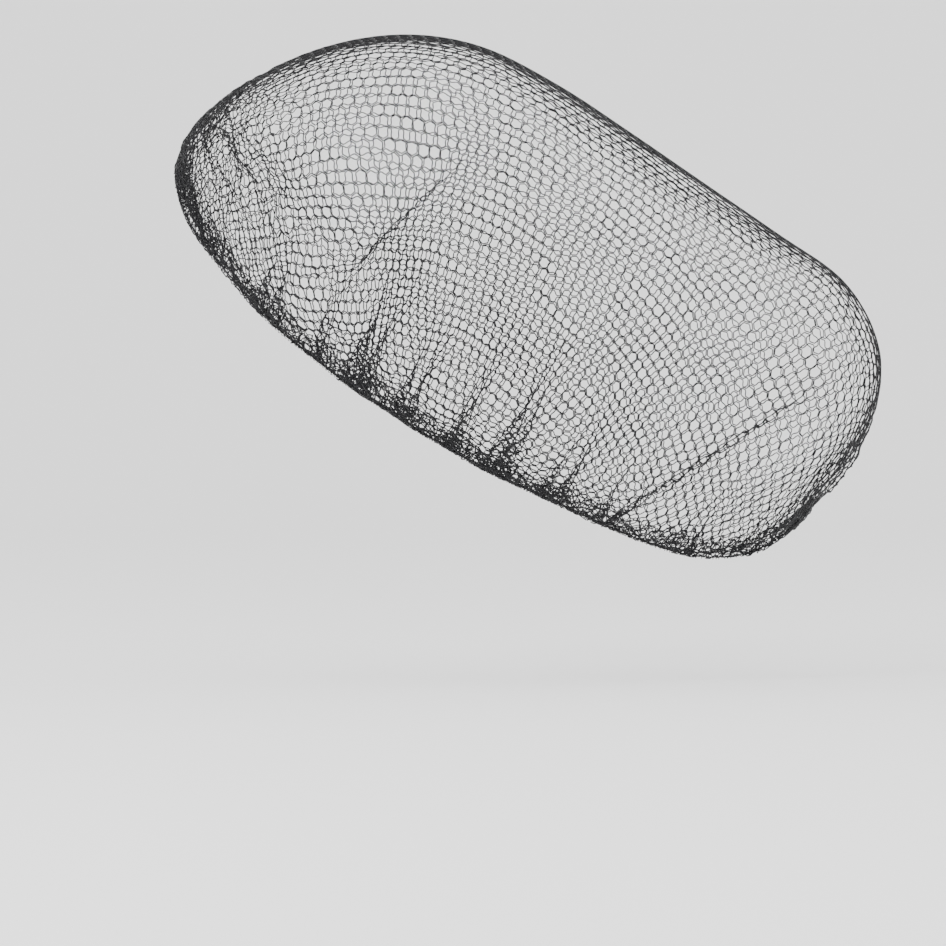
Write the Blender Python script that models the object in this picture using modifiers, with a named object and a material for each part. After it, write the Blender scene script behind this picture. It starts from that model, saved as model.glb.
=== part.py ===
"""Hairnet with an elastic edge, in the shape that it takes when it is worn over hair and a low bun.

Metres, +Z up, the front of the net towards -Y and the bun pouch towards +Y.
The origin is the middle of the head opening, halfway from the front to the back of the elastic.
"""

from math import acos, atan2, cos, hypot, pi, radians, sin

import bmesh
import bpy
from mathutils import Vector

MM = 0.001

NET_WALL = 1.0 * MM
ELASTIC_RADIUS = 0.8 * MM
EDGE_GAP = 0.45 * MM

NET_GRID = 42
ELASTIC_POINTS = 110

NET_BLACK = (0.012, 0.012, 0.014, 1.0)
ELASTIC_BLACK = (0.008, 0.008, 0.009, 1.0)

# One row for every 15 degrees round the net, from the front to the back, in millimetres.
# hem: half width, y and z of the elastic edge. top: y and z of the middle line above it.
# wrap: how far round, in degrees, the section between the two curves before it meets the edge.
# fullness: 2 is an elliptical section, and a higher one is flatter on top with fuller shoulders.
SECTION_STEP = 15
SECTION_COLUMNS = ("hem_half_width", "hem_y", "hem_z", "top_y", "top_z", "wrap", "fullness")
SECTIONS = (
    (0, -133, 71, -133, 71, 96, 2.8),
    (29, -129, 53, -118, 94, 100, 2.9),
    (50, -113, 30, -82, 116, 104, 3.0),
    (65, -90, 5, -44, 125, 111, 3.0),
    (74, -63, -17, -8, 121, 117, 2.9),
    (79, -33, -37, 25, 105, 118, 2.7),
    (80, -2, -55, 56, 85, 114, 2.5),
    (75, 28, -69, 87, 64, 110, 2.3),
    (64, 57, -82, 118, 43, 108, 2.2),
    (51, 85, -90, 147, 22, 106, 2.2),
    (37, 109, -88, 161, -10, 104, 2.3),
    (20, 127, -78, 152, -46, 98, 2.3),
    (0, 133, -71, 133, -71, 94, 2.3),
)
# The hem runs straight across the plane of symmetry, so these columns are even there.
EVEN_COLUMNS = ("hem_y", "hem_z", "wrap", "fullness")

# Soft folds that stand out of both sides of the net, in millimetres seen from the side.
FOLD_COLUMNS = ("from_y", "from_z", "to_y", "to_z", "half_width", "height")
FOLDS = (
    (-50, -11, -39, 9, 5, 1.6),
    (-37, -20, -29, 3, 5, 1.4),
    (-6, -39, 1, -11, 6, 1.6),
    (13, -51, 22, -19, 6, 1.4),
    (34, -63, 44, -35, 6, 1.2),
    (-55, 38, -31, 58, 5, 1.0),
    (57, -75, 106, -36, 6, 1.6),
)


def section_value(column, degrees):
    """A column of SECTIONS at any angle, on a smooth curve through its rows."""
    index = SECTION_COLUMNS.index(column)
    values = [row[index] for row in SECTIONS]
    if column in EVEN_COLUMNS:
        before, after = values[1], values[-2]
    else:
        before, after = 2 * values[0] - values[1], 2 * values[-1] - values[-2]
    values = [before, *values, after]
    place = degrees / SECTION_STEP
    row = min(int(place), len(SECTIONS) - 2)
    t = place - row
    a, b, c, d = values[row:row + 4]
    slope = -a + c
    bend = 2 * a - 5 * b + 4 * c - d
    twist = -a + 3 * b - 3 * c + d
    return 0.5 * (2 * b + slope * t + bend * t ** 2 + twist * t ** 3)


def net_point(around, over):
    """A point of the outer surface: around from the front, 0, to the back, 180 degrees, and
    over from the left edge, -90, across the middle line, 0, to the right edge, 90 degrees."""
    row = {column: section_value(column, around) for column in SECTION_COLUMNS}
    wrap = radians(row["wrap"])
    power = 2 / row["fullness"]
    turn = wrap * (abs(over) / 90) ** (1 / power)
    fall = (1 - cos(turn)) / (1 - cos(wrap))
    width = row["hem_half_width"] * (sin(turn) / sin(wrap)) ** power
    if over < 0:
        width = -width
    y = row["top_y"] + (row["hem_y"] - row["top_y"]) * fall
    z = row["top_z"] + (row["hem_z"] - row["top_z"]) * fall
    return Vector((width, y, z))


def dome_angles(p, q):
    """The two angles of net_point for a place on a square sheet, p and q from -1 to 1,
    when the square is rounded to a disc and the disc is laid over half a ball."""
    across = q * (1 - p * p / 2) ** 0.5
    along = p * (1 - q * q / 2) ** 0.5
    reach = min(hypot(across, along), 1)
    direction = atan2(across, along)
    tilt = reach * pi / 2
    x = sin(tilt) * sin(direction)
    y = sin(tilt) * cos(direction)
    z = cos(tilt)
    around = acos(max(-1, min(1, -y)))
    over = atan2(x, max(z, 0))
    return around * 180 / pi, over * 180 / pi


def fold_height(point):
    """How far the folds lift a point of the net, in millimetres."""
    height = 0
    for values in FOLDS:
        fold = dict(zip(FOLD_COLUMNS, values))
        start = Vector((fold["from_y"], fold["from_z"]))
        run = Vector((fold["to_y"], fold["to_z"])) - start
        place = Vector((point.y, point.z)) - start
        share = max(0, min(1, place.dot(run) / run.length_squared))
        off = (place - run * share).length / fold["half_width"]
        if off < 1:
            height = max(height, fold["height"] * (1 + cos(pi * off)) / 2)
    return height


def net_sheet():
    """The outer surface of the net as an open grid, with its edge drawn back from the elastic."""
    mesh = bmesh.new()
    grid = []
    for i in range(NET_GRID + 1):
        line = []
        for j in range(NET_GRID + 1):
            around, over = dome_angles(2 * i / NET_GRID - 1, 2 * j / NET_GRID - 1)
            line.append(mesh.verts.new(net_point(around, over)))
        grid.append(line)
    for i in range(NET_GRID):
        for j in range(NET_GRID):
            mesh.faces.new((grid[i][j], grid[i + 1][j], grid[i + 1][j + 1], grid[i][j + 1]))
    bmesh.ops.recalc_face_normals(mesh, faces=mesh.faces)
    mesh.normal_update()
    middle = grid[NET_GRID // 2][NET_GRID // 2]
    if middle.normal.z < 0:
        bmesh.ops.reverse_faces(mesh, faces=mesh.faces)
        mesh.normal_update()
    lifted = [vertex.co + vertex.normal * fold_height(vertex.co) for vertex in mesh.verts]
    for vertex, place in zip(mesh.verts, lifted):
        vertex.co = place
    draw_back_edge(grid)
    bmesh.ops.scale(mesh, vec=(MM, MM, MM), verts=mesh.verts)
    return mesh


def edge_places():
    """The grid places along the edge of the net, in order, once round."""
    last = NET_GRID
    side = range(last)
    return (
        [(0, k) for k in side]
        + [(k, last) for k in side]
        + [(last, last - k) for k in side]
        + [(last - k, 0) for k in side]
    )


def draw_back_edge(grid):
    """Puts each edge point square off the elastic's middle line, by the same small way."""
    setback = (ELASTIC_RADIUS + EDGE_GAP) / MM
    places = edge_places()
    hem = [net_point(*dome_angles(2 * i / NET_GRID - 1, 2 * j / NET_GRID - 1)) for i, j in places]
    for k, (i, j) in enumerate(places):
        along = (hem[(k + 1) % len(hem)] - hem[k - 1]).normalized()
        inner = grid[min(max(i, 1), NET_GRID - 1)][min(max(j, 1), NET_GRID - 1)].co - hem[k]
        inward = (inner - along * inner.dot(along)).normalized()
        grid[i][j].co = hem[k] + inward * setback


def make_material(name, color, roughness):
    material = bpy.data.materials.new(name)
    material.use_nodes = True
    shader = material.node_tree.nodes["Principled BSDF"]
    shader.inputs["Base Color"].default_value = color
    shader.inputs["Roughness"].default_value = roughness
    shader.inputs["Metallic"].default_value = 0
    return material


def make_net_cap(collection):
    sheet = net_sheet()
    data = bpy.data.meshes.new("net_cap")
    sheet.to_mesh(data)
    sheet.free()
    data.shade_smooth()
    cap = bpy.data.objects.new("net_cap", data)
    data.materials.append(make_material("black_netting", NET_BLACK, 0.55))
    wall = cap.modifiers.new("wall", "SOLIDIFY")
    wall.thickness = NET_WALL
    wall.offset = -1
    wall.use_quality_normals = True
    collection.objects.link(cap)


def elastic_route():
    """Points of the elastic's middle line, once round, the same way apart."""
    fine = []
    steps = 720
    for k in range(steps):
        turn = 360 * k / steps
        around = turn if turn <= 180 else 360 - turn
        over = 90 if turn <= 180 else -90
        fine.append(net_point(around, over) * MM)
    lengths = [(fine[k] - fine[k - 1]).length for k in range(steps)]
    whole = sum(lengths)
    route = []
    walked = 0
    for k in range(steps):
        if walked >= whole * len(route) / ELASTIC_POINTS:
            route.append(fine[k])
        walked += lengths[(k + 1) % steps]
    return route


def make_elastic_edge(collection):
    route = elastic_route()
    curve = bpy.data.curves.new("elastic_edge", "CURVE")
    curve.dimensions = "3D"
    curve.bevel_depth = ELASTIC_RADIUS
    curve.bevel_resolution = 2
    spline = curve.splines.new("POLY")
    spline.points.add(len(route) - 1)
    for point, place in zip(spline.points, route):
        point.co = (*place, 1)
    spline.use_cyclic_u = True
    curve.materials.append(make_material("black_elastic", ELASTIC_BLACK, 0.7))
    collection.objects.link(bpy.data.objects.new("elastic_edge", curve))


def main():
    for thing in list(bpy.data.objects):
        bpy.data.objects.remove(thing, do_unlink=True)
    collection = bpy.data.collections.new("hairnet")
    bpy.context.scene.collection.children.link(collection)
    make_net_cap(collection)
    make_elastic_edge(collection)


main()
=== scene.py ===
"""Looks of a black hairnet of hexagonal mesh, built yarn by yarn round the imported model.

Metres, +Z up, the front of the net towards -Y. The netting is laid out flat first, as the mesh
of paired zigzag yarns that it is, and then laid over the cap of the frame and gathered on its
elastic, so every yarn is a real tube.
"""

from math import cos, pi, radians, sin, sqrt, tau

import bpy
import numpy as np
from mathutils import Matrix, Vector
from mathutils.bvhtree import BVHTree


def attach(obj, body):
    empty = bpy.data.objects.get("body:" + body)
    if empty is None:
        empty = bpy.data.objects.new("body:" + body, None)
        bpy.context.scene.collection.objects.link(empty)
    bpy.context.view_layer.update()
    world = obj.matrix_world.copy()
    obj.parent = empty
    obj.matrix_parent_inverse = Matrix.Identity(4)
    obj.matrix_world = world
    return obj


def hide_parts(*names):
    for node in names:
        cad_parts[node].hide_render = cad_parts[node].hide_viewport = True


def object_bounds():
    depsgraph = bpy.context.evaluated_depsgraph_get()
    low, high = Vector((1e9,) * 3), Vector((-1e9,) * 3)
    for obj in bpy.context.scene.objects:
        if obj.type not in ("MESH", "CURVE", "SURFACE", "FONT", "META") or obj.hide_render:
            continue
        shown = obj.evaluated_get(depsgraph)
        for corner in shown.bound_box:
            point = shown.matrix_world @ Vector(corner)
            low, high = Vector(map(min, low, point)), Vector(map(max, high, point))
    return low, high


MM = 0.001
SEED = 7

# The mesh as worn: the steps from a hole to the next one behind it and to the next one below it,
# the angle between the two, and how far the whole mesh is turned, all on the sheet laid flat.
STEP_BACK = 5.25 * MM
STEP_DOWN = 4.55 * MM
STEP_ANGLE = radians(107)
LATTICE_TURN = radians(2)
# Two yarns lie side by side between two holes for this long, with this gap between them.
BAR = 2.3 * MM
PAIR_GAP = 0.14 * MM
# A yarn is a tube of this radius and this many sides, with this many points from one turn of its
# zigzag to the next.
YARN_RADIUS = 0.25 * MM
YARN_SIDES = 4
POINTS_A_TURN = 4
# How many pieces the netting is split into along its yarns, and how much further than the longest
# way down the cap the flat lattice runs before it is cut.
PANELS = 5
LATTICE_SPAN = 1.3
# The gap between rows of faces on the unwrapped strip of a piece, as a share of a tube's girth.
ROW_GAP = 0.4

# How the sheet is spread: larger holes on the crown than at the hem, and wider ones at the sides.
CROWN_SPREAD = 0.45
SIDE_SPREAD = 0.08
SIDE_SPREAD_FROM = 50 * MM
# The netting is crowded together at the front, up to this angle from it.
FRONT_CROWD, CROWD_SPAN = 0.06, radians(90)
# At each side it is crowded together about this angle from the front, more and more from this
# far out on the sheet.
SIDE_CROWD, SIDE_CROWD_AT, SIDE_CROWD_SPAN = 0.05, radians(62), radians(13)
SIDE_CROWD_FROM = 110 * MM
# Near the crown, a move round the cap is turned into an angle as if it were this far out.
LEAST_OUT = 20 * MM

# How far the edge is drawn in from the frame's at the front and behind, over what angle to each
# side, and how far up the netting follows it.
FRONT_TUCK, FRONT_TUCK_SPAN, FRONT_TUCK_REACH = np.array([0, 1.8, 0]) * MM, radians(45), 18 * MM
BACK_TUCK, BACK_TUCK_SPAN, BACK_TUCK_REACH = np.array([0, -1.4, 4.2]) * MM, radians(30), 7 * MM

# Netting that is gathered up at the elastic, at three places round it: its extra length, and
# how far up it reaches. What the front has more of ends at this angle from it.
FRONT_FULLNESS, FRONT_REACH = 50 * MM, 15 * MM
SIDE_FULLNESS, SIDE_REACH = 6 * MM, 3 * MM
BACK_FULLNESS, BACK_REACH = 5 * MM, 9 * MM
FRONT_SPAN = radians(45)
# How narrow the place behind is: the power of a cosine.
BACK_NARROWNESS = 3

# Slack netting across the front: its extra length, how far up from the elastic its middle is,
# over what way up and what angle it is spread, and how strongly it crumples.
SLACK, SLACK_UP, SLACK_WIDTH = 40 * MM, 38 * MM, 14 * MM
SLACK_SPAN = radians(55)
SLACK_CRUMPLE = 0.8

# Folds that run up from the elastic, on both sides, in millimetres: the y of the foot, how far up
# it reaches, how much netting it draws in from before and behind, how high it stands, and the
# extra length piled up at its foot. Those on the far side are shifted a little.
PLEAT_COLUMNS = ("foot_y", "reach", "draw", "height", "pile")
PLEATS = (
    (-119, 12, 2.5, 0.3, 0),
    (-93, 18, 7.0, 1.0, 10),
    (-74, 20, 4.0, 1.0, 12),
    (-59, 28, 7.5, 1.8, 29),
    (-40, 26, 5.5, 1.6, 16),
    (-18, 26, 5.5, 1.8, 13),
    (-3, 34, 7.0, 1.8, 14),
    (23, 24, 5.5, 1.6, 15),
    (46, 20, 5.0, 1.4, 14),
    (76, 16, 4.5, 1.0, 9),
    (104, 14, 3.5, 0.8, 5),
    (124, 12, 2.5, 0.4, 0),
)
# The pile's half width, and how far up it reaches as a share of its extra length.
PILE_WIDTH = 10 * MM
PILE_REACH = 0.45
# The most that a pleat on the far side is shifted, the width of a fold, over what way up from the
# elastic it comes out, and how much higher it stands on one side of its line than on the other.
PLEAT_SHIFT = 5 * MM
PLEAT_FOLD = 7.0 * MM
PLEAT_RISE = 6 * MM
PLEAT_LEAN = 0.5

# Unevenness of the netting is a sum of waves, each with a length between two shares of a mean one.
WAVES = 14
WAVE_SPREAD = (0.7, 1.6)
# How far it moves a point round, down and off the cap, and over what length of the sheet. The
# drift is everywhere, the crumples are in slack netting and at the hem, and the billow is behind.
DRIFT, DRIFT_LENGTH = np.array([0.6, 0.6, 0]) * MM, 45 * MM
CRUMPLE, CRUMPLE_LENGTH = 0.9 * MM, 10 * MM
COARSE_CRUMPLE, COARSE_CRUMPLE_LENGTH = 2 * CRUMPLE, 2.5 * CRUMPLE_LENGTH
HEM_CRUMPLE, HEM_CRUMPLE_LENGTH = np.array([1.3, 0.7, 0.7]) * MM, 8 * MM
HEM_CRUMPLE_REACH = 6 * MM
BILLOW, BILLOW_LENGTH = 1.5 * MM, 17 * MM
# Unevenness never lifts the netting further off the cap than this.
MOST_OFF = 1.1 * MM

# Behind, the slack netting stands out in a ridge along the middle, and sinks beside it. The
# narrowness is the power of a cosine round the cap.
RIDGE_DEPTH = 9 * MM
RIDGE_WIDTH = 14 * MM
HOLLOW_WIDTH = 40 * MM
RIDGE_REACH = 42 * MM
RIDGE_NARROWNESS = 4

# Places where the netting is drawn together to a line, seen from the side, in millimetres.
# draw: how far from each side. fold: how near the line it turns back. spread: how far away the
# netting still moves. lift: how high it stands. A negative draw spreads the netting apart. The
# rows with a wide fold set how open the netting is there, and the narrow ones are creases.
DRAW_COLUMNS = ("from_y", "from_z", "to_y", "to_z", "draw", "fold", "spread", "lift")
DRAWS = (
    (-82, 0, -54, 70, -7.0, 15.0, 28, 0.0),
    (-90, 24, -34, 44, 4.0, 18.0, 26, 0.0),
    (-66, 26, -49, 32, 2.2, 1.3, 10, 0.8),
    (-50, 32, -27, 54, 3.4, 1.1, 14, 1.2),
    (-60, 16, -51, 28, 1.8, 1.2, 7, 0.8),
    (49, -72, 111, -33, 4.0, 1.2, 14, 1.5),
    (-104, 84, -72, 50, 5.0, 14.0, 18, 0.0),
    (-95, 97, -82, 93, 2.5, 1.5, 9, 1.2),
    (-108, 82, -95, 88, 2.5, 1.5, 9, 1.2),
)

# The slack front stands out a little in a round bulge, this far up from the elastic.
BULGE, BULGE_UP, BULGE_WIDTH = 1.6 * MM, 12 * MM, 10 * MM

# The elastic is a twist of cords with a thread wound round it: the length of one turn of each,
# the points in a turn, and the sides of the tubes.
ELASTIC_RADIUS = 0.4 * MM
CORDS = 2
CORD_TWIST, CORD_POINTS, CORD_SIDES = 3.2 * MM, 8, 6
BINDING_RADIUS = 0.14 * MM
BINDING_STEP, BINDING_POINTS, BINDING_SIDES = 1.9 * MM, 9, 4

# The edge of the netting rolls round the elastic, and from this far up it lies free of it. Behind,
# between two angles from the front, the roll grows to a small ruffle that stands free. It flares
# outwards, and its flare and its depth are uneven.
ROLL = ELASTIC_RADIUS + 1.5 * YARN_RADIUS
FREE_FROM = 3 * MM
RUFFLE = 5.5 * MM
RUFFLE_FROM, RUFFLE_TO = radians(158), radians(180)
RUFFLE_FLARE, RUFFLE_SWAY = radians(35), radians(18)
RUFFLE_LENGTH = 22 * MM
RUFFLE_UNEVEN, MOST_UNEVEN = 0.2, 2
# The netting's heading at the elastic is taken from this share of its way down the cap.
HEADING_FROM = 0.97

# The raw edge is a frill gathered inside the elastic: how much longer it is than the elastic,
# its width laid flat and as gathered, the share of that width that it has at the back, and the
# small folds that it lies in, which are shallower further up.
FRILL_GATHER = 1.7
FRILL_FLAT = 14 * MM
FRILL_HEIGHT = 8 * MM
FRILL_BACK_SHARE = 0.25
FRILL_FOLD, FRILL_DEPTH = 3.1 * MM, 1.1 * MM
FRILL_LEAST_DEPTH = 0.6
# Its unevenness: of its height and of where its folds lie, over a long length of the sheet, and
# of each point along the elastic, below it and off it, over a short one.
FRILL_SWAY_LENGTH, FRILL_CURL_LENGTH = 3 * FRILL_FLAT, FRILL_FLAT
FRILL_UNEVEN, FRILL_FOLD_SWAY = 0.25, 1.5
FRILL_CURL_ALONG, FRILL_CURL_BELOW, FRILL_CURL_OFF = 0.7 * MM, 0.2 * MM, 0.3 * MM

# The photograph's framing: its width, its scale and the point of the object at its middle.
FRAME_PIXELS = 946
PIXEL = 0.415 * MM
FRAME_WIDTH = FRAME_PIXELS * PIXEL
FRAME_MIDDLE = Vector((0, -8.9 * MM, -55.7 * MM))
# The camera, in metres, with the width of its sensor in millimetres.
CAMERA_DISTANCE = 1.7
CAMERA_ELEVATION = radians(0)
SENSOR = 36.0

# The backdrop and the lights, in metres and watts. The floor is this far below the net.
FLOOR_DROP = 0.05
FLOOR_RADIUS = 4.0
COVE_RADIUS = 2.0
COVE_STEPS = 12
WALL_HEIGHT = 4.0
BACKDROP_SIDES = 96
MERGE_DISTANCE = 0.1 * MM
SKY_STRENGTH = 1.9
LIGHT_SIZE = 0.8
KEY_PLACE, KEY_POWER = (1.5, -1.0, 1.0), 24
FILL_PLACE, FILL_POWER = (1.4, 1.3, 0.5), 8

FLOOR_WHITE = (0.93, 0.93, 0.93, 1)
SKY_WHITE = (1, 1, 1, 1)
YARN_DARK = (0.003, 0.003, 0.004, 1)
YARN_LIGHT = (0.010, 0.010, 0.012, 1)
YARN_GLOSS = (0.3, 0.5)
YARN_SPECULAR = 0.15
YARN_SHEEN, YARN_SHEEN_ROUGHNESS = 0.12, 0.4
# The noises' scales count their features in a metre. The tone changes along a yarn, and the fibres
# roughen it.
TONE_SCALE = 160
FIBRE_SCALE, FIBRE_DETAIL = 2200, 3
FIBRE_STRENGTH, FIBRE_RELIEF = 0.35, 0.1 * MM

# The smooth grid over the cap: its lines, the points down each, the waves that its edge is fitted
# with, the rounds of smoothing, and how far outside the rays start that find the surface.
GRID_AROUND = 180
GRID_DOWN = 90
HEM_WAVES = 16
SMOOTH_ROUNDS = 6
RAY_START = 0.5
# Points on the edge in one lap, and the halvings that find how far up the cap a point lies.
LAP_POINTS = 720
HALVINGS = 26
# No vector is taken to be shorter than this when it is brought to the length of one.
LEAST_LENGTH = 1e-12


def unit(vectors):
    lengths = np.linalg.norm(vectors, axis=-1, keepdims=True)
    return vectors / np.maximum(lengths, LEAST_LENGTH)


def spline_weights(t):
    """Weights of the four values around a place on a smooth curve through evenly spaced values."""
    t2, t3 = t * t, t * t * t
    return (
        0.5 * (-t + 2 * t2 - t3),
        0.5 * (2 - 5 * t2 + 3 * t3),
        0.5 * (t + 4 * t2 - 3 * t3),
        0.5 * (t3 - t2),
    )


class Cap:
    """The cap of the frame as a smooth grid of lines that run from the crown to the elastic.

    around is the angle round the cap, 0 at the front and a quarter turn at the near side.
    down is the share of the way from the crown to the elastic."""

    def __init__(self, net, elastic):
        self.hem_axes(elastic)
        self.hem = self.fit_hem(elastic)
        rows = self.cast_lines(net)
        self.grid = self.even_lines(rows)
        self.tuck()
        self.smooth()
        # The edge now lies elsewhere, so it is fitted again.
        self.hem = self.fit_hem(self.grid[:, -1])
        steps = np.linalg.norm(np.diff(self.grid, axis=1), axis=2)
        self.lengths = steps.sum(axis=1)
        self.padded = self.pad(self.grid)
        self.normals = self.pad(self.find_normals())

    def hem_axes(self, elastic):
        """Axes of the head opening: its front, the side that is nearest, and the crown above."""
        front = elastic[elastic[:, 1].argmin()]
        back = elastic[elastic[:, 1].argmax()]
        self.front = unit(np.array([0, front[1] - back[1], front[2] - back[2]]))
        self.side = np.array([1.0, 0, 0])
        self.crown = np.array([0, -self.front[2], self.front[1]])
        if self.crown[2] < 0:
            self.crown = -self.crown

    def waves(self, around):
        """The values at each angle of the waves that the edge is a sum of."""
        columns = [np.ones_like(around)]
        for n in range(1, HEM_WAVES + 1):
            columns += [np.cos(n * around), np.sin(n * around)]
        return np.stack(columns, axis=-1)

    def fit_hem(self, elastic):
        """The edge as a sum of waves round the cap, fitted to points of it."""
        around = np.arctan2(elastic @ self.side, elastic @ self.front)
        return np.linalg.lstsq(self.waves(around), elastic, rcond=None)[0]

    def hem_point(self, around):
        return self.waves(around) @ self.hem

    def cast_lines(self, net):
        """Points of the outer surface, found from outside, down one line for each angle."""
        tree = BVHTree.FromPolygons(
            [v.co for v in net.data.vertices], [p.vertices for p in net.data.polygons]
        )
        lines = []
        for around in np.arange(GRID_AROUND) * tau / GRID_AROUND:
            edge = self.hem_point(np.array([around]))[0]
            outward = np.cos(around) * self.front + np.sin(around) * self.side
            last = np.arctan2(edge @ outward, edge @ self.crown)
            line = []
            for k in range(GRID_DOWN):
                fall = last * k / GRID_DOWN
                way = Vector(np.cos(fall) * self.crown + np.sin(fall) * outward)
                hit = tree.ray_cast(way * RAY_START, -way, RAY_START)[0]
                if hit is not None:
                    line.append(np.array(hit))
            lines.append(np.array(line + [edge]))
        return lines

    def even_lines(self, lines):
        """The same lines with their points the same way apart."""
        grid = np.empty((len(lines), GRID_DOWN + 1, 3))
        for i, line in enumerate(lines):
            walked = np.r_[0, np.cumsum(np.linalg.norm(np.diff(line, axis=0), axis=1))]
            even = np.linspace(0, walked[-1], GRID_DOWN + 1)
            for axis in range(3):
                grid[i, :, axis] = np.interp(even, walked, line[:, axis])
        return grid

    def tuck(self):
        """Draws the edge in, and the netting above it less and less."""
        around = np.arange(GRID_AROUND) * tau / GRID_AROUND
        steps = np.linalg.norm(np.diff(self.grid, axis=1), axis=2)
        up = np.c_[np.cumsum(steps[:, ::-1], axis=1)[:, ::-1], np.zeros(GRID_AROUND)]
        for middle, tuck, span, reach in (
            (0, FRONT_TUCK, FRONT_TUCK_SPAN, FRONT_TUCK_REACH),
            (pi, BACK_TUCK, BACK_TUCK_SPAN, BACK_TUCK_REACH),
        ):
            share = share_near(around, middle, span)[:, None] * np.exp(-((up / reach) ** 2))
            self.grid += share[:, :, None] * tuck

    def smooth(self):
        """Takes the flat facets out of the grid, and keeps its edge."""
        for _ in range(SMOOTH_ROUNDS):
            around = (np.roll(self.grid, 1, axis=0) + np.roll(self.grid, -1, axis=0)) / 2
            inner = self.grid[:, 1:-1]
            down = (self.grid[:, :-2] + self.grid[:, 2:]) / 2
            self.grid[:, 1:-1] = inner / 2 + around[:, 1:-1] / 4 + down / 4
            self.grid[:, 0] = self.grid[:, 1].mean(axis=0)

    def pad(self, grid):
        """One more column over the crown and one past the edge, for the smooth curves."""
        over = np.roll(grid, GRID_AROUND // 2, axis=0)[:, 1:2]
        past = 2 * grid[:, -1:] - grid[:, -2:-1]
        return np.concatenate([over, grid, past], axis=1)

    def find_normals(self):
        padded = self.padded
        down = (padded[:, 2:] - padded[:, :-2]) / 2
        around = (np.roll(self.grid, -1, axis=0) - np.roll(self.grid, 1, axis=0)) / 2
        normals = unit(np.cross(down, around))
        normals[:, 0] = unit(normals[:, 2].mean(axis=0))
        outward = np.einsum("ijk,ijk->ij", normals, self.grid - self.grid[:, -1].mean(axis=0))
        return normals if outward.mean() > 0 else -normals

    def sample(self, grid, around, down):
        """Values of a padded grid on a smooth curve through its points."""
        i = np.mod(around, tau) * GRID_AROUND / tau
        j = np.clip(down, 0, 1) * GRID_DOWN
        i0 = np.floor(i).astype(int)
        j0 = np.minimum(np.floor(j).astype(int), GRID_DOWN - 1)
        across = spline_weights(i - i0)
        along = spline_weights(j - j0)
        total = 0
        for a in range(4):
            row = grid[(i0 + a - 1) % GRID_AROUND]
            for b in range(4):
                weight = (across[a] * along[b])[:, None]
                total = total + weight * row[np.arange(len(i)), j0 + b]
        return total

    def point(self, around, down):
        return self.sample(self.padded, around, down)

    def normal(self, around, down):
        return unit(self.sample(self.normals, around, down))

    def heading(self, around):
        """The way that the surface runs on where it reaches the elastic."""
        whole = np.ones_like(around)
        return unit(self.point(around, whole) - self.point(around, whole * HEADING_FROM))

    def length(self, around):
        """The way down the cap from the crown to the elastic."""
        i = np.mod(around, tau) * GRID_AROUND / tau
        i0 = np.floor(i).astype(int)
        weights = spline_weights(i - i0)
        return sum(w * self.lengths[(i0 + a - 1) % GRID_AROUND] for a, w in enumerate(weights))


def node_points(node):
    mesh = node.data
    co = np.empty(len(mesh.vertices) * 3)
    mesh.vertices.foreach_get("co", co)
    return co.reshape(-1, 3)


def wander(flat, length, seed):
    """A smooth random shift of flat points, of about 1 each way, that changes over length."""
    rng = np.random.default_rng(seed)
    shift = np.zeros((len(flat), 3))
    for _ in range(WAVES):
        turn = rng.uniform(0, tau)
        wave = tau / (length * rng.uniform(*WAVE_SPREAD))
        phase = rng.uniform(0, tau, 3)
        heading = np.array([cos(turn), sin(turn)])
        shift += np.sin((flat @ heading * wave)[:, None] + phase)
    return shift * sqrt(2 / WAVES)


def share_near(around, middle, span):
    """1 at the middle angle, and 0 from span on to each side of it."""
    away = np.abs(np.mod(around - middle + pi, tau) - pi)
    return np.cos(pi / 2 * np.clip(away / span, 0, 1)) ** 2


def front_share(around):
    return share_near(around, 0, FRONT_SPAN)


def by_place(around, front, side, back):
    """A size that goes smoothly from one value at the front to others at the sides and back."""
    behind = np.clip(-np.cos(around), 0, 1) ** BACK_NARROWNESS
    return side + (front - side) * front_share(around) + (back - side) * behind


def sheet_turn(flat):
    """The angle round the cap that each flat point is laid at, before it is pleated, and how far
    from the crown it lies on the flat sheet."""
    around = np.arctan2(flat[:, 0], -flat[:, 1])
    out = np.hypot(flat[:, 0], flat[:, 1])
    ramp = out ** 2 / (out ** 2 + SIDE_SPREAD_FROM ** 2)
    crowd = FRONT_CROWD * share_near(around, 0, CROWD_SPAN) * np.sin(4 * around)
    turn = (np.abs(around) - SIDE_CROWD_AT) / SIDE_CROWD_SPAN
    side = SIDE_CROWD * np.sign(around) * turn * np.exp(-(turn ** 2))
    side *= out ** 4 / (out ** 4 + SIDE_CROWD_FROM ** 4)
    return around - ramp * (SIDE_SPREAD * np.sin(2 * around) + crowd) - side, out


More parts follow.
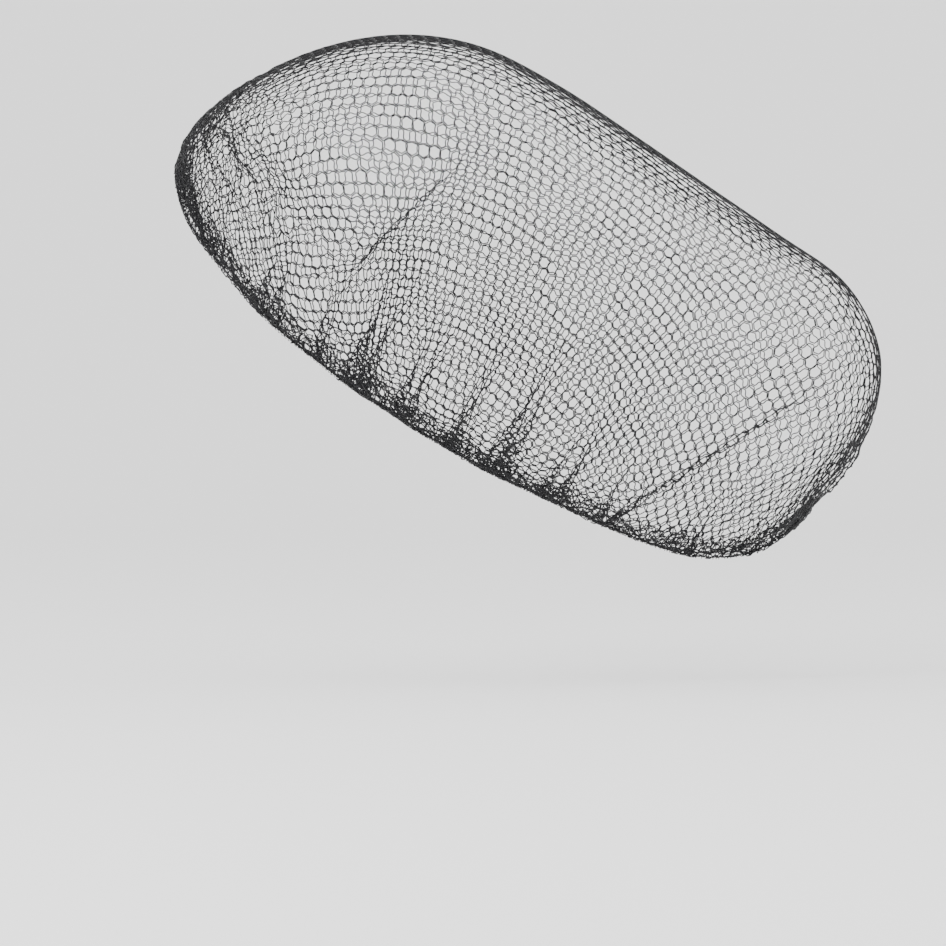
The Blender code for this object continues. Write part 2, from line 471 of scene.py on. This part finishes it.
class Pleats:
    """Pleats round the elastic, each at its own place and with its own sizes."""

    def __init__(self, cap):
        self.turns = np.linspace(-tau, 2 * tau, 3 * LAP_POINTS + 1)
        hem = cap.hem_point(self.turns)
        walk = np.r_[0, np.cumsum(np.linalg.norm(np.diff(hem, axis=0), axis=1))]
        self.walk = walk - np.interp(0, self.turns, walk)
        self.round = np.interp(tau, self.turns, self.walk)
        rng = np.random.default_rng(SEED)
        near_side = (self.turns >= 0) & (self.turns <= pi)
        columns = dict(zip(PLEAT_COLUMNS, np.array(PLEATS).T * MM))
        feet = np.interp(columns["foot_y"], hem[near_side, 1], self.walk[near_side])
        far_feet = self.round - feet + rng.uniform(-PLEAT_SHIFT, PLEAT_SHIFT, len(feet))
        self.places = self.closed(np.r_[feet, far_feet[::-1]], self.round)
        self.reach = self.closed(self.both_sides(columns["reach"]), 0)
        self.draw = self.closed(self.both_sides(columns["draw"]), 0)
        self.height = self.closed(self.both_sides(columns["height"]), 0)
        self.pile = self.closed(self.both_sides(columns["pile"]), 0)

    def both_sides(self, values):
        return np.r_[values, values[::-1]]

    def closed(self, values, lap):
        """Values once round, with the last one before them and the first one after them."""
        return np.r_[values[-1] - lap, values, values[0] + lap]

    def piled(self, around):
        """The extra length of netting that is piled up at the pleats."""
        walked = np.interp(np.mod(around, tau), self.turns, self.walk)
        away = (walked[:, None] - self.places) / PILE_WIDTH
        return np.exp(-(away ** 2)) @ self.pile

    def fullness(self, around):
        """How much longer the sheet is than its way down the cap."""
        return by_place(around, FRONT_FULLNESS, SIDE_FULLNESS, BACK_FULLNESS) + self.piled(around)

    def reach_up(self, around):
        """How far up the sheet is gathered."""
        reach = by_place(around, FRONT_REACH, SIDE_REACH, BACK_REACH)
        return reach + PILE_REACH * self.piled(around)

    def gather(self, around, up):
        """The angle that a point of the sheet is drawn to, up being its way from the elastic,
        and how far it stands off the surface there."""
        walked = np.interp(np.mod(around, tau), self.turns, self.walk)
        i = np.searchsorted(self.places, walked, side="right") - 1
        fade = [np.exp(-((np.maximum(up, 0) / self.reach[i + n]) ** 2)) for n in (0, 1)]
        before = walked - self.places[i]
        after = self.places[i + 1] - walked
        half = PLEAT_FOLD / 2
        low, high = -self.draw[i] * fade[0], self.draw[i + 1] * fade[1]
        share = np.clip((before - half) / np.maximum(before + after - PLEAT_FOLD, half), 0, 1)
        shift = low + (high - low) * share
        shift = np.where(before < half, low * np.sin(pi / 2 * before / half), shift)
        shift = np.where(after < half, high * np.sin(pi / 2 * after / half), shift)
        near = np.where(before < after, before, -after)
        ridge = np.exp(-((near / PLEAT_FOLD) ** 2))
        ridge += PLEAT_LEAN * near / half * np.exp(-((near / half) ** 2))
        rise = 1 - np.exp(-np.maximum(up, 0) / PLEAT_RISE)
        lift = np.where(before < after, self.height[i] * fade[0], self.height[i + 1] * fade[1])
        return np.interp(walked + shift, self.walk, self.turns), lift * ridge * rise


def draw_together(point, normal):
    """Moves points along the surface to the lines of DRAWS, on the near side of the cap."""
    for values in DRAWS:
        row = dict(zip(DRAW_COLUMNS, values))
        start = np.array([row["from_y"], row["from_z"]]) * MM
        run = np.array([row["to_y"], row["to_z"]]) * MM - start
        length = np.linalg.norm(run)
        run = run / length
        off_run = np.array([-run[1], run[0]])
        place = point[:, 1:] - start
        along = place @ run
        off = place @ off_run
        fold, spread = row["fold"] * MM, row["spread"] * MM
        past = np.maximum(np.maximum(-along, along - length), 0)
        fade = np.exp(-(past / spread) ** 2) * np.maximum(normal[:, 0], 0)
        away = np.abs(off)
        drawn = np.sign(off) * (1 - np.exp(-away / fold)) * np.exp(-((away / spread) ** 2))
        shift = np.outer(-row["draw"] * MM * drawn * fade, np.r_[0, off_run])
        shift -= normal * np.einsum("ij,ij->i", shift, normal)[:, None]
        across = off / fold / 2
        lift = row["lift"] * MM * fade * np.exp(-(across ** 2)) * (1 + across)
        point = point + shift + normal * lift[:, None]
    return point


def looseness(around):
    """0 where the netting's edge is turned in, and 1 behind, where it stands free."""
    from_front = np.abs(np.mod(around + pi, tau) - pi)
    return np.clip((from_front - RUFFLE_FROM) / (RUFFLE_TO - RUFFLE_FROM), 0, 1)


def roll_depth(around):
    """How far the rolled edge stands out past the elastic, and how much netting it takes."""
    depth = ROLL + (RUFFLE - ROLL) * looseness(around)
    # The roll is half an ellipse.
    return depth, pi * np.sqrt((depth ** 2 + ROLL ** 2) / 2)


def slack_length(around):
    return SLACK * share_near(around, 0, SLACK_SPAN)


def slack_below(up):
    """The share of the slack that lies less far up than this."""
    start = np.tanh(SLACK_UP / SLACK_WIDTH)
    return (np.tanh((up - SLACK_UP) / SLACK_WIDTH) + start) / (1 + start)


def way_up(around, extra, reach, length, left):
    """How far up the cap from the elastic a point lies that has this much of the sheet left
    below it, and how slack the netting is there."""
    low, high = np.zeros_like(left), np.maximum(left, 0)
    for _ in range(HALVINGS):
        up = (low + high) / 2
        taken = up + extra * (1 - np.exp(-up / reach)) + slack_length(around) * slack_below(up)
        low, high = np.where(taken < left, up, low), np.where(taken < left, high, up)
    slack = np.exp(-up / reach) * extra / FRONT_FULLNESS
    slack += SLACK_CRUMPLE * slack_length(around) / SLACK / np.cosh((up - SLACK_UP) / SLACK_WIDTH) ** 2
    share = np.sin(CROWN_SPREAD * (1 - up / length)) / sin(CROWN_SPREAD)
    return (1 - share) * length, slack[:, None]


def uneven_shift(flat, around, up, slack):
    """How far points are moved round the cap, down it and off it."""
    shift = wander(flat, DRIFT_LENGTH, SEED + 1) * DRIFT
    shift += wander(flat, CRUMPLE_LENGTH, SEED + 2) * CRUMPLE * np.sqrt(slack)
    shift += wander(flat, COARSE_CRUMPLE_LENGTH, SEED + 3) * COARSE_CRUMPLE * slack
    near_hem = np.exp(-((up / HEM_CRUMPLE_REACH) ** 2))[:, None]
    shift += wander(flat, HEM_CRUMPLE_LENGTH, SEED + 4) * HEM_CRUMPLE * near_hem
    shift[:, 2] += wander(flat, BILLOW_LENGTH, SEED + 5)[:, 2] * BILLOW * ridge_share(around, up)
    off = MOST_OFF * np.tanh(np.abs(shift[:, 2]) / MOST_OFF)
    return np.c_[shift[:, 0], np.minimum(shift[:, 1], up / 2), off]


def ridge_share(around, up):
    """1 at the elastic in the middle behind, and 0 at the sides and far up."""
    behind = np.clip(-np.cos(around), 0, 1) ** RIDGE_NARROWNESS
    return behind * np.exp(-((up / RIDGE_REACH) ** 2))


def sunk_depth(beside, around, up):
    """How far the netting sinks beside the ridge behind, this far from the middle."""
    hollow = (1 - np.exp(-beside / RIDGE_WIDTH)) * np.exp(-((beside / HOLLOW_WIDTH) ** 2))
    return RIDGE_DEPTH * hollow * ridge_share(around, up) * np.clip(up / RIDGE_WIDTH, 0, 1)


def bulge_height(around, up):
    return BULGE * front_share(around) * np.exp(-(((up - BULGE_UP) / BULGE_WIDTH) ** 2))


def edge_stand(flat, around, stand, below, normal):
    """The way that the rolled edge and the ruffle stand out past the elastic, unevenly."""
    sway = wander(flat, RUFFLE_LENGTH, SEED + 6) * looseness(around)[:, None]
    flare = (RUFFLE_FLARE * looseness(around) + RUFFLE_SWAY * sway[:, 0])[:, None]
    heading = np.cos(flare) * below + np.sin(flare) * normal
    uneven = RUFFLE_UNEVEN * np.clip(sway[:, 1], -MOST_UNEVEN, MOST_UNEVEN)
    return heading * (stand * (1 + uneven))[:, None]


def lay(cap, pleats, flat):
    """Lays flat points of the sheet on the cap. Returns the places and the surface's normals."""
    around, out = sheet_turn(flat)
    length = cap.length(around)
    extra = pleats.fullness(around)
    left = length + extra + slack_length(around) - out
    up, slack = way_up(around, extra, pleats.reach_up(around), length, left)
    depth, roll_length = roll_depth(around)
    turn = np.clip(-left / roll_length, 0, 1) * pi
    inner = np.maximum(-left - roll_length, 0)
    drawn, lift = pleats.gather(around, up)
    shift = uneven_shift(flat, around, up, slack)
    free = np.clip(up / FREE_FROM, 0, 1)
    drawn = drawn + shift[:, 0] / np.maximum(out, LEAST_OUT)
    share = 1 - (up + inner - shift[:, 1] * free) / length
    point = cap.point(drawn, share)
    normal = cap.normal(drawn, share)
    sunk = sunk_depth(np.abs(point[:, 0]), around, up)
    off = ROLL * np.exp(-((up / FREE_FROM) ** 2)) * np.cos(turn)
    off += lift + shift[:, 2] * free + bulge_height(around, up) - sunk
    below = cap.heading(drawn)
    stand = edge_stand(flat, around, depth * np.sin(turn), below, normal)
    point = point + normal * off[:, None] + stand
    side = unit(np.cos(turn)[:, None] * normal + np.sin(turn)[:, None] * below)
    return draw_together(point, normal), side


def lattice():
    """The two steps of a yarn on the flat sheet: along it to its next turn, and to the next yarn."""
    back = STEP_BACK * np.array([-sin(LATTICE_TURN), cos(LATTICE_TURN)])
    down_turn = LATTICE_TURN + STEP_ANGLE
    down = -STEP_DOWN * np.array([-sin(down_turn), cos(down_turn)])
    return (back + down) / 2, (back - down) / 2


def yarn_lines(reach, inside):
    """The flat lines of all yarns of a sheet: each zigzags along a wale and lies beside its
    neighbours in turn, and the two together are the bar between two holes."""
    wale, cross = lattice()
    column = np.linalg.norm(cross)
    course = np.linalg.norm(wale)
    beside = (YARN_RADIUS + PAIR_GAP / 2) / column
    bar_share = BAR / 2 / course
    steps = np.linspace(bar_share, 1 - bar_share, POINTS_A_TURN)
    ease = (steps - bar_share) / (1 - 2 * bar_share)
    swing = ease * ease * (3 - 2 * ease)
    rows = int(LATTICE_SPAN * reach / course) + 1
    columns = int(LATTICE_SPAN * reach / column) + 1
    m = np.repeat(np.arange(-rows, rows), len(steps))
    t = np.tile(swing, 2 * rows)
    along = m + np.tile(steps, 2 * rows)
    lines = []
    for k in range(-columns, columns):
        side = np.where((k + m) % 2, 1 - t, t)
        place = k + beside + (1 - 2 * beside) * side
        flat = np.outer(place, cross) + np.outer(along, wale)
        edges = np.flatnonzero(np.diff(np.r_[0, inside(flat), 0]))
        for start, end in zip(edges[::2], edges[1::2]):
            if end - start > POINTS_A_TURN:
                lines.append((k, flat[start:end]))
    return lines


def strip_layout(steps, radius, sides):
    """Places on the unit square for the faces of tubes, given the length of each ring of faces.
    All rings lie end to end in one strip, which is folded into rows."""
    girth = tau * radius
    pitch = girth * (1 + ROW_GAP)
    run = np.cumsum(steps) - steps
    rows = int(np.ceil(sqrt((run[-1] + steps[-1]) / pitch)))
    width = (run[-1] + steps[-1]) / rows
    row = np.minimum(run // width, rows - 1)
    full = width + steps.max()
    left = (run - row * width) / full
    right = left + steps / full
    corner = np.arange(sides)
    low = (row[:, None] + corner / sides / (1 + ROW_GAP)) / rows
    high = (row[:, None] + (corner + 1) / sides / (1 + ROW_GAP)) / rows
    left, right = np.repeat(left[:, None], sides, axis=1), np.repeat(right[:, None], sides, axis=1)
    corners = [left, low, left, high, right, high, right, low]
    return np.stack(corners, axis=2).reshape(len(steps), sides, 4, 2)


def tube_points(points, ups, starts, radius, sides):
    """A ring of points round each point of lines that lie end to end and begin at starts."""
    tangents = np.empty_like(points)
    tangents[1:-1] = points[2:] - points[:-2]
    tangents[starts[:-1]] = points[starts[:-1] + 1] - points[starts[:-1]]
    tangents[starts[1:] - 1] = points[starts[1:] - 1] - points[starts[1:] - 2]
    tangents = unit(tangents)
    beside = unit(np.cross(tangents, ups))
    upward = np.cross(beside, tangents)
    turns = np.arange(sides) * tau / sides
    ring = np.cos(turns)[:, None] * upward[:, None] + np.sin(turns)[:, None] * beside[:, None]
    return (points[:, None] + radius * ring).reshape(-1, 3)


def tube_faces(first, starts, sides):
    """The corners of the faces from each first ring to the next, and of those that close the ends."""
    corner = np.arange(sides)
    a = first[:, None] * sides + corner
    b = first[:, None] * sides + (corner + 1) % sides
    quads = np.stack([a, b, b + sides, a + sides], axis=2).reshape(-1, 4)
    heads = starts[:-1, None] * sides + corner[::-1]
    tails = (starts[1:, None] - 1) * sides + corner
    return quads, np.concatenate([heads, tails])


def tube_layout(points, first, starts, radius, sides):
    """A place on the unit square for each corner of each face, in the order of the faces."""
    steps = np.linalg.norm(np.diff(points, axis=0), axis=1)
    strip = strip_layout(steps[first], radius, sides)
    ends = np.concatenate([strip[starts[:-1] - np.arange(len(starts) - 1), 0, 0]] * 2)
    return np.concatenate([strip.reshape(-1, 2), np.repeat(ends, sides, axis=0)])


def tube_mesh(name, lines, normals, radius, sides):
    """One mesh of closed tubes along lines, each a list of points with normals beside it."""
    starts = np.r_[0, np.cumsum([len(line) for line in lines])]
    first = np.concatenate([np.arange(a, b - 1) for a, b in zip(starts[:-1], starts[1:])])
    points = np.concatenate(lines)
    vertices = tube_points(points, np.concatenate(normals), starts, radius, sides)
    quads, caps = tube_faces(first, starts, sides)
    mesh = bpy.data.meshes.new(name)
    mesh.vertices.add(len(vertices))
    mesh.vertices.foreach_set("co", vertices.astype(np.float32).ravel())
    loops = np.r_[quads.ravel(), caps.ravel()]
    mesh.loops.add(len(loops))
    mesh.loops.foreach_set("vertex_index", loops.astype(np.int32))
    mesh.polygons.add(len(quads) + len(caps))
    totals = np.r_[np.full(len(quads), 4), np.full(len(caps), sides)]
    mesh.polygons.foreach_set("loop_start", np.r_[0, np.cumsum(totals)[:-1]].astype(np.int32))
    uvs = tube_layout(points, first, starts, radius, sides)
    mesh.uv_layers.new(name="OFBake").data.foreach_set("uv", uvs.astype(np.float32).ravel())
    mesh.update(calc_edges=True)
    mesh.validate()
    mesh.shade_smooth()
    made = bpy.data.objects.new(name, mesh)
    bpy.context.scene.collection.objects.link(made)
    return made


def yarn_material():
    """Black nylon with a tone that changes softly along the yarn and fine fibres across it."""
    material = bpy.data.materials.new("black_nylon_yarn")
    material.use_nodes = True
    nodes, links = material.node_tree.nodes, material.node_tree.links
    shader = nodes["Principled BSDF"]
    place = nodes.new("ShaderNodeTexCoord")
    noise = nodes.new("ShaderNodeTexNoise")
    noise.inputs["Scale"].default_value = TONE_SCALE
    links.new(place.outputs["Object"], noise.inputs["Vector"])
    tone = nodes.new("ShaderNodeValToRGB")
    tone.color_ramp.elements[0].color = YARN_DARK
    tone.color_ramp.elements[1].color = YARN_LIGHT
    links.new(noise.outputs["Fac"], tone.inputs["Fac"])
    links.new(tone.outputs["Color"], shader.inputs["Base Color"])
    shader.inputs["Specular IOR Level"].default_value = YARN_SPECULAR
    shader.inputs["Sheen Weight"].default_value = YARN_SHEEN
    shader.inputs["Sheen Roughness"].default_value = YARN_SHEEN_ROUGHNESS
    fibres = nodes.new("ShaderNodeTexNoise")
    fibres.inputs["Scale"].default_value = FIBRE_SCALE
    fibres.inputs["Detail"].default_value = FIBRE_DETAIL
    links.new(place.outputs["Object"], fibres.inputs["Vector"])
    bump = nodes.new("ShaderNodeBump")
    bump.inputs["Strength"].default_value = FIBRE_STRENGTH
    bump.inputs["Distance"].default_value = FIBRE_RELIEF
    links.new(fibres.outputs["Fac"], bump.inputs["Height"])
    links.new(bump.outputs["Normal"], shader.inputs["Normal"])
    gloss = nodes.new("ShaderNodeMapRange")
    gloss.inputs["To Min"].default_value = YARN_GLOSS[0]
    gloss.inputs["To Max"].default_value = YARN_GLOSS[1]
    links.new(noise.outputs["Fac"], gloss.inputs["Value"])
    links.new(gloss.outputs["Result"], shader.inputs["Roughness"])
    return material


def knit(name, flats, places, ups, material):
    """A piece of netting made of its flat yarns, laid at places."""
    cuts = np.cumsum([len(line) for line in flats])[:-1]
    piece = tube_mesh(name, np.split(places, cuts), np.split(ups, cuts), YARN_RADIUS, YARN_SIDES)
    piece.data.materials.append(material)
    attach(piece, "root")
    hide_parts("net_cap")
    return piece


def declare_sheet():
    """Works out the way along the wales of the lattice, and does nothing with it."""
    wale, cross = lattice()
    along = unit(wale)


def make_netting(cap, pleats, material):
    """The cap of netting, in panels side by side that are parts of one sheet."""

    def inside(flat):
        around, out = sheet_turn(flat)
        whole = cap.length(around) + pleats.fullness(around) + slack_length(around)
        return out < whole + roll_depth(around)[1]

    lines = yarn_lines(cap.lengths.max() + max(FRONT_FULLNESS, BACK_FULLNESS), inside)
    keys = sorted({k for k, _ in lines})
    counts = np.array([sum(len(line) for key, line in lines if key == k) for k in keys])
    bands = np.searchsorted(np.cumsum(counts) / counts.sum(), np.linspace(0, 1, PANELS + 1)[1:-1])
    band_of = {k: int(np.searchsorted(bands, i, side="right")) for i, k in enumerate(keys)}
    for band in range(PANELS):
        flats = [line for k, line in lines if band_of[k] == band]
        places, ups = lay(cap, pleats, np.concatenate(flats))
        panel = knit(f"netting_{band + 1}", flats, places, ups, material)
        declare_sheet()


def make_frill(cap, pleats, material):
    """The netting's raw edge, gathered in small folds inside the elastic."""
    long = pleats.round * FRILL_GATHER
    middle = np.array([long, FRILL_FLAT]) / 2

    def inside(flat):
        around = np.interp((flat[:, 0] + middle[0]) / FRILL_GATHER, pleats.walk, pleats.turns)
        top = FRILL_FLAT * (1 - (1 - FRILL_BACK_SHARE) * looseness(around)) - middle[1]
        return (np.abs(flat) < middle).all(axis=1) & (flat[:, 1] < top)

    flats = [line for _, line in yarn_lines(long / 2, inside)]
    flat = np.concatenate(flats)
    sway = wander(flat, FRILL_SWAY_LENGTH, SEED + 7)
    curl = wander(flat, FRILL_CURL_LENGTH, SEED + 8)
    walked = (flat[:, 0] + middle[0]) / FRILL_GATHER + FRILL_CURL_ALONG * curl[:, 0]
    around = np.interp(walked, pleats.walk, pleats.turns)
    height = FRILL_HEIGHT * (1 + FRILL_UNEVEN * sway[:, 1])
    up = (flat[:, 1] + middle[1]) / FRILL_FLAT * height - ROLL
    share = 1 - np.maximum(up, 0) / cap.length(around)
    normal = cap.normal(around, share)
    fold = np.sin(tau * walked / FRILL_FOLD + FRILL_FOLD_SWAY * sway[:, 0])
    depth = FRILL_LEAST_DEPTH + (1 - FRILL_LEAST_DEPTH) * np.cos(up / FRILL_HEIGHT)
    off = FRILL_DEPTH * fold * depth + FRILL_CURL_OFF * curl[:, 2]
    under = np.maximum(-up, 0) + FRILL_CURL_BELOW * curl[:, 1]
    places = cap.point(around, share) + normal * off[:, None] + cap.heading(around) * under[:, None]
    return knit("netting_frill", flats, places, normal, material)


def coil_lines(cap, count, turn_length, radius, points):
    """Lines that wind round the hem's middle line, count of them side by side."""
    lap = cap.hem_point(np.linspace(0, tau, LAP_POINTS + 1))
    turns = round(np.linalg.norm(np.diff(lap, axis=0), axis=1).sum() / turn_length)
    around = np.linspace(0, tau, turns * points + 1)
    middle = cap.hem_point(around)
    along = unit(np.roll(middle[:-1], -1, axis=0) - np.roll(middle[:-1], 1, axis=0))
    along = np.concatenate([along, along[:1]])
    up = cap.normal(around, np.ones_like(around))
    up = unit(up - along * np.einsum("ij,ij->i", up, along)[:, None])
    beside = np.cross(along, up)
    lines, normals = [], []
    for n in range(count):
        phase = around * turns + n * tau / count
        away = np.cos(phase)[:, None] * up + np.sin(phase)[:, None] * beside
        lines.append(middle + radius * away)
        normals.append(away)
    return lines, normals


def make_elastic(cap, material):
    """The covered elastic, a twist of two cords, with the thread that binds the netting to it."""
    cord_radius = ELASTIC_RADIUS / 2
    cords, cord_ups = coil_lines(cap, CORDS, CORD_TWIST, cord_radius, CORD_POINTS)
    cord = tube_mesh("elastic_cord", cords, cord_ups, cord_radius, CORD_SIDES)
    thread_out = ELASTIC_RADIUS + 2 * YARN_RADIUS
    threads, thread_ups = coil_lines(cap, 1, BINDING_STEP, thread_out, BINDING_POINTS)
    thread = tube_mesh("binding_thread", threads, thread_ups, BINDING_RADIUS, BINDING_SIDES)
    for piece in (cord, thread):
        piece.data.materials.append(material)
        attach(piece, "root")
        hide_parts("elastic_edge")


def backdrop_profile():
    """The line from the middle of the floor outwards and up the wall, as distances and heights."""
    profile = [(0, 0), (FLOOR_RADIUS, 0)]
    for k in range(1, COVE_STEPS + 1):
        turn = pi / 2 * k / COVE_STEPS
        profile.append((FLOOR_RADIUS + COVE_RADIUS * sin(turn), COVE_RADIUS * (1 - cos(turn))))
    profile.append((FLOOR_RADIUS + COVE_RADIUS, WALL_HEIGHT))
    return profile


def make_backdrop(lowest):
    """A pale floor below the net that curves up into a round wall, open to the sky above."""
    floor_height = lowest - FLOOR_DROP
    mesh = bpy.data.meshes.new("backdrop")
    vertices = [(x, 0, z + floor_height) for x, z in backdrop_profile()]
    mesh.from_pydata(vertices, [(k, k + 1) for k in range(len(vertices) - 1)], [])
    backdrop = bpy.data.objects.new("backdrop", mesh)
    bpy.context.scene.collection.objects.link(backdrop)
    screw = backdrop.modifiers.new("turned", "SCREW")
    screw.steps = screw.render_steps = BACKDROP_SIDES
    screw.use_smooth_shade = True
    screw.use_merge_vertices = True
    screw.merge_threshold = MERGE_DISTANCE
    material = bpy.data.materials.new("pale_floor")
    material.use_nodes = True
    shader = material.node_tree.nodes["Principled BSDF"]
    shader.inputs["Base Color"].default_value = FLOOR_WHITE
    shader.inputs["Roughness"].default_value = 1.0
    shader.inputs["Specular IOR Level"].default_value = 0.0
    mesh.materials.append(material)


def make_light(name, place, power):
    """A soft round lamp that looks at the middle of the frame."""
    light = bpy.data.lights.new(name, "AREA")
    light.shape = "DISK"
    light.size = LIGHT_SIZE
    light.energy = power
    lamp = bpy.data.objects.new(name, light)
    lamp.location = place
    lamp.rotation_euler = (FRAME_MIDDLE - Vector(place)).to_track_quat("-Z", "Y").to_euler()
    bpy.context.scene.collection.objects.link(lamp)


def make_studio():
    world = bpy.data.worlds.new("studio")
    world.use_nodes = True
    sky = world.node_tree.nodes["Background"]
    sky.inputs["Color"].default_value = SKY_WHITE
    sky.inputs["Strength"].default_value = SKY_STRENGTH
    bpy.context.scene.world = world
    make_light("key", KEY_PLACE, KEY_POWER)
    make_light("fill", FILL_PLACE, FILL_POWER)


def make_camera():
    data = bpy.data.cameras.new("camera")
    data.sensor_width = SENSOR
    data.lens = SENSOR * CAMERA_DISTANCE / FRAME_WIDTH
    camera = bpy.data.objects.new("camera", data)
    away = Vector((cos(CAMERA_ELEVATION), 0, sin(CAMERA_ELEVATION)))
    camera.location = FRAME_MIDDLE + away * CAMERA_DISTANCE
    camera.rotation_euler = (-away).to_track_quat("-Z", "Y").to_euler()
    bpy.context.scene.collection.objects.link(camera)
    bpy.context.scene.camera = camera


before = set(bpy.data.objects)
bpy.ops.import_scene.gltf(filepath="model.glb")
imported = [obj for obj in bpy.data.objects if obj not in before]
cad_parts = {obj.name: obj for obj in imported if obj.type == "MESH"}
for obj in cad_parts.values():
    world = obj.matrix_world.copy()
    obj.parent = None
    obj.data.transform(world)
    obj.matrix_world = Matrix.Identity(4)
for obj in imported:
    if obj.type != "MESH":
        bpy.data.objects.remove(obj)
cad_box = [list(corner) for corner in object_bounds()]
cap = Cap(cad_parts["net_cap"], node_points(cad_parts["elastic_edge"]))
pleats = Pleats(cap)
nylon = yarn_material()
make_elastic(cap, nylon)
frill = make_frill(cap, pleats, nylon)
make_netting(cap, pleats, nylon)
make_backdrop(cad_box[0][2])
make_studio()
make_camera()
